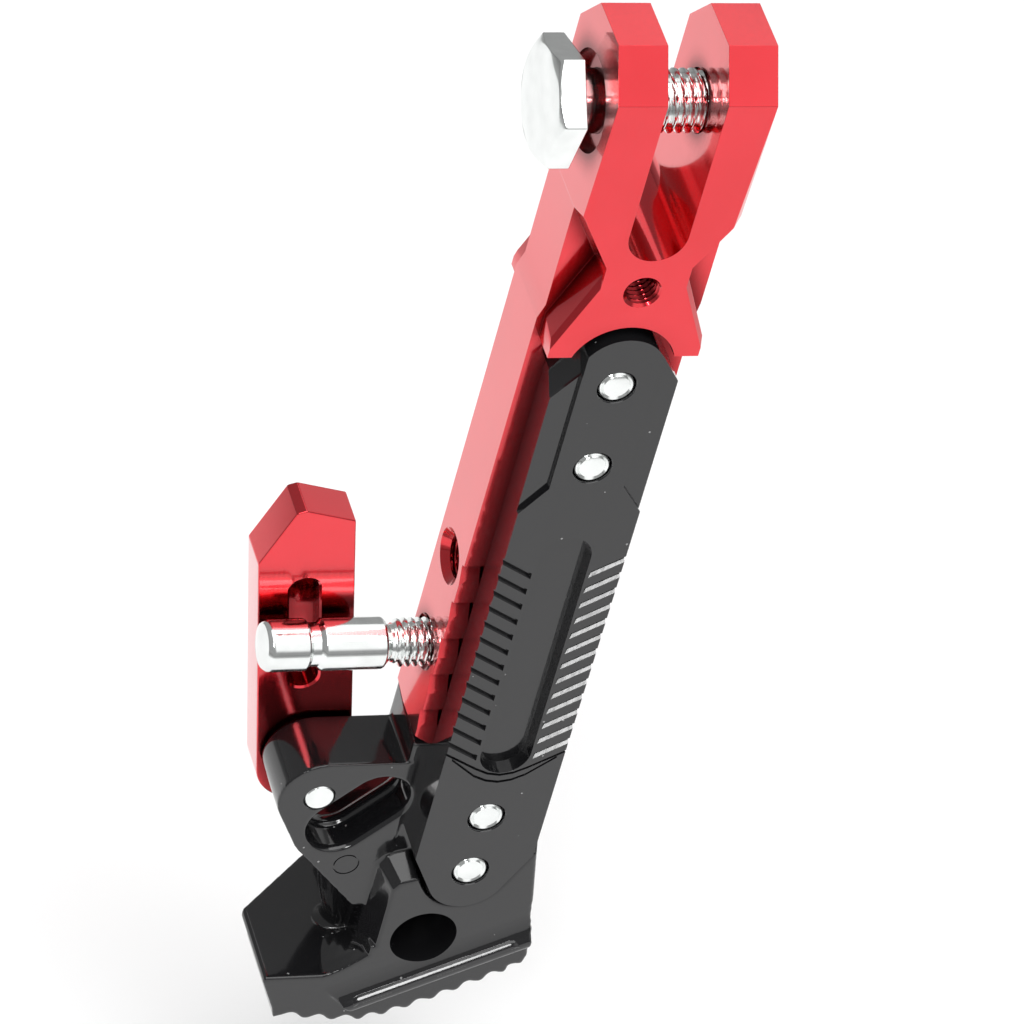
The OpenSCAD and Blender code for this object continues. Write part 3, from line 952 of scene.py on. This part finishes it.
# ---------------------------------------------------------------- screws
def build_screw(name, node, z, seat):
    """Cap screw from behind; its domed end shows level with the cover."""
    head_r, head_h, radius = 5, 6, 3
    back = seat - head_h
    profile = [
        (0.01, back), (4.5, back), (4.85, back + 0.2), (head_r, back + 0.6),
        (head_r, seat - 0.3), (4.8, seat), (radius, seat), (radius, 11.4), (2.85, 11.7),
        (2.6, 11.88), (2.4, 11.75), (2.25, 11.62), (2.1, 11.8), (1.6, 11.92), (0.8, 11.98),
        (0.01, 12.0),
    ]
    screw = lathe(profile, (0, 0, z), TO_FRONT)
    screw = cut(screw, front_slab(hexagon(5, 20, z), back - 1, back + 3))
    return finish_piece(screw, name, "foot", STEEL, [node], 32)


def build_screws():
    """Two clamp screws over the clamp plate, and two foot screws straight on their washers."""
    washer, plate = 1.6, 2.4
    foot_seat = -GROOVE_FLOOR - 0.05 - washer
    clamp_seat = foot_seat - plate
    build_screw("screw_a", "clamp_screw_upper", CLAMP_Z[0], clamp_seat)
    build_screw("screw_b", "clamp_screw_lower", CLAMP_Z[1], clamp_seat)
    build_screw("screw_c", "foot_screw_upper", FOOT_Z[0], foot_seat)
    build_screw("screw_d", "foot_screw_lower", FOOT_Z[1], foot_seat)


def dress_nodes():
    """The CAD pieces that stay, the washers, the clip and the clamp plate, are zinc plated."""
    for name in (
        "rear_clamp_plate", "clamp_washer_upper", "clamp_washer_lower", "foot_washer_upper",
        "foot_washer_lower", "lever_friction_washer", "lever_back_washer", "lever_clip",
    ):
        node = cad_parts[name]
        node.data.materials.clear()
        node.data.materials.append(ZINC)


# ---------------------------------------------------------------- camera, floor, light
def add_camera():
    azimuth = math.radians(-25.98)
    elevation = math.radians(40.73)
    roll = math.radians(16.44)
    aim = Vector((-0.0008, 0.0095, -0.0947))
    distance = 1.190
    back = Vector((
        math.sin(azimuth) * math.cos(elevation),
        -math.cos(azimuth) * math.cos(elevation),
        math.sin(elevation),
    ))
    level = Vector((math.cos(azimuth), math.sin(azimuth), 0))
    upright = back.cross(level)
    right = level * math.cos(roll) + upright * math.sin(roll)
    up = upright * math.cos(roll) - level * math.sin(roll)
    data = bpy.data.cameras.new("camera")
    data.sensor_width = 36
    data.lens = 260.5
    data.clip_start = 0.05
    data.clip_end = 20
    camera = bpy.data.objects.new("camera", data)
    camera.matrix_world = Matrix((
        (right.x, up.x, back.x, 0),
        (right.y, up.y, back.y, 0),
        (right.z, up.z, back.z, 0),
        (0, 0, 0, 1),
    ))
    camera.location = aim + back * distance
    bpy.context.collection.objects.link(camera)
    bpy.context.scene.camera = camera


def add_floor():
    size, height = 4.0, -0.226
    floor = loft("floor", [
        [(-size, -size, z), (size, -size, z), (size, size, z), (-size, size, z)]
        for z in (height - 0.02, height)
    ])
    material, tree, shader = new_material("floor")
    # Painted light fall-off: the floor is pale near the part and darkens to grey beyond about half
    # a metre.
    place = tree.nodes.new("ShaderNodeTexCoord")
    reach = tree.nodes.new("ShaderNodeVectorMath")
    reach.operation = "LENGTH"
    tree.links.new(place.outputs["Object"], reach.inputs[0])
    painted_light_falloff = tree.nodes.new("ShaderNodeMapRange")
    painted_light_falloff.interpolation_type = "SMOOTHSTEP"
    painted_light_falloff.inputs["From Min"].default_value = 0.48
    painted_light_falloff.inputs["From Max"].default_value = 0.62
    tree.links.new(reach.outputs["Value"], painted_light_falloff.inputs["Value"])
    colour = blend_colours(tree, painted_light_falloff.outputs["Result"], (0.955, 0.955, 0.955), (0.36, 0.36, 0.36))
    tree.links.new(colour, shader.inputs["Base Color"])
    shader.inputs["Roughness"].default_value = 0.9
    floor.data.materials.append(material)


def softbox(name, place, size, energy, towards=(0, 0, -0.1)):
    """A rectangular light that faces the point given."""
    data = bpy.data.lights.new(name, "AREA")
    data.shape = "RECTANGLE"
    data.size, data.size_y = size
    data.energy = energy
    light = bpy.data.objects.new(name, data)
    light.location = place
    aim = Vector(towards) - Vector(place)
    light.rotation_euler = aim.to_track_quat("-Z", "Y").to_euler()
    bpy.context.collection.objects.link(light)
    return light


def world_panel(tree, place, direction, outer, inner, strength):
    """The surroundings' even light, and a brighter patch with a soft edge in one direction."""
    even = 0.17
    towards = tree.nodes.new("ShaderNodeVectorMath")
    towards.operation = "DOT_PRODUCT"
    towards.inputs[1].default_value = Vector(direction).normalized()
    edge = tree.nodes.new("ShaderNodeMapRange")
    edge.interpolation_type = "SMOOTHSTEP"
    edge.inputs["From Min"].default_value = outer
    edge.inputs["From Max"].default_value = inner
    edge.inputs["To Min"].default_value = even
    edge.inputs["To Max"].default_value = strength
    tree.links.new(place.outputs["Generated"], towards.inputs[0])
    tree.links.new(towards.outputs["Value"], edge.inputs["Value"])
    return edge.outputs["Result"]


def add_light():
    world = bpy.data.worlds.new("studio")
    bpy.context.scene.world = world
    world.use_nodes = True
    tree = world.node_tree
    sky = tree.nodes["Background"]
    sky.inputs["Color"].default_value = (1, 1, 1, 1)
    place = tree.nodes.new("ShaderNodeTexCoord")
    front_panel = world_panel(tree, place, (0.35, -0.7, 0.62), 0.86, 0.96, 1.0)
    side_panel = world_panel(tree, place, (0.74, 0.60, 0.30), 0.88, 0.96, 0.6)
    total = tree.nodes.new("ShaderNodeMath")
    tree.links.new(front_panel, total.inputs[0])
    tree.links.new(side_panel, total.inputs[1])
    tree.links.new(total.outputs["Value"], sky.inputs["Strength"])
    softbox("overhead", (0.0, -0.1, 1.35), (1.6, 1.6), 19.8)
    back = softbox("back", (0.144, 0.288, 0.331), (0.4, 0.17), 0.19, (0, 0, 0.015))
    back.visible_camera = False
    key = softbox("key", (-0.48, -0.7, 0.62), (0.22, 0.22), 2.4)
    key.visible_camera = False
    bpy.context.scene.view_settings.view_transform = "Standard"


add_camera()
build_leg()
build_bolt()
build_post()
build_cover()
build_foot()
build_lever()
build_pin()
build_screws()
dress_nodes()
add_floor()
add_light()
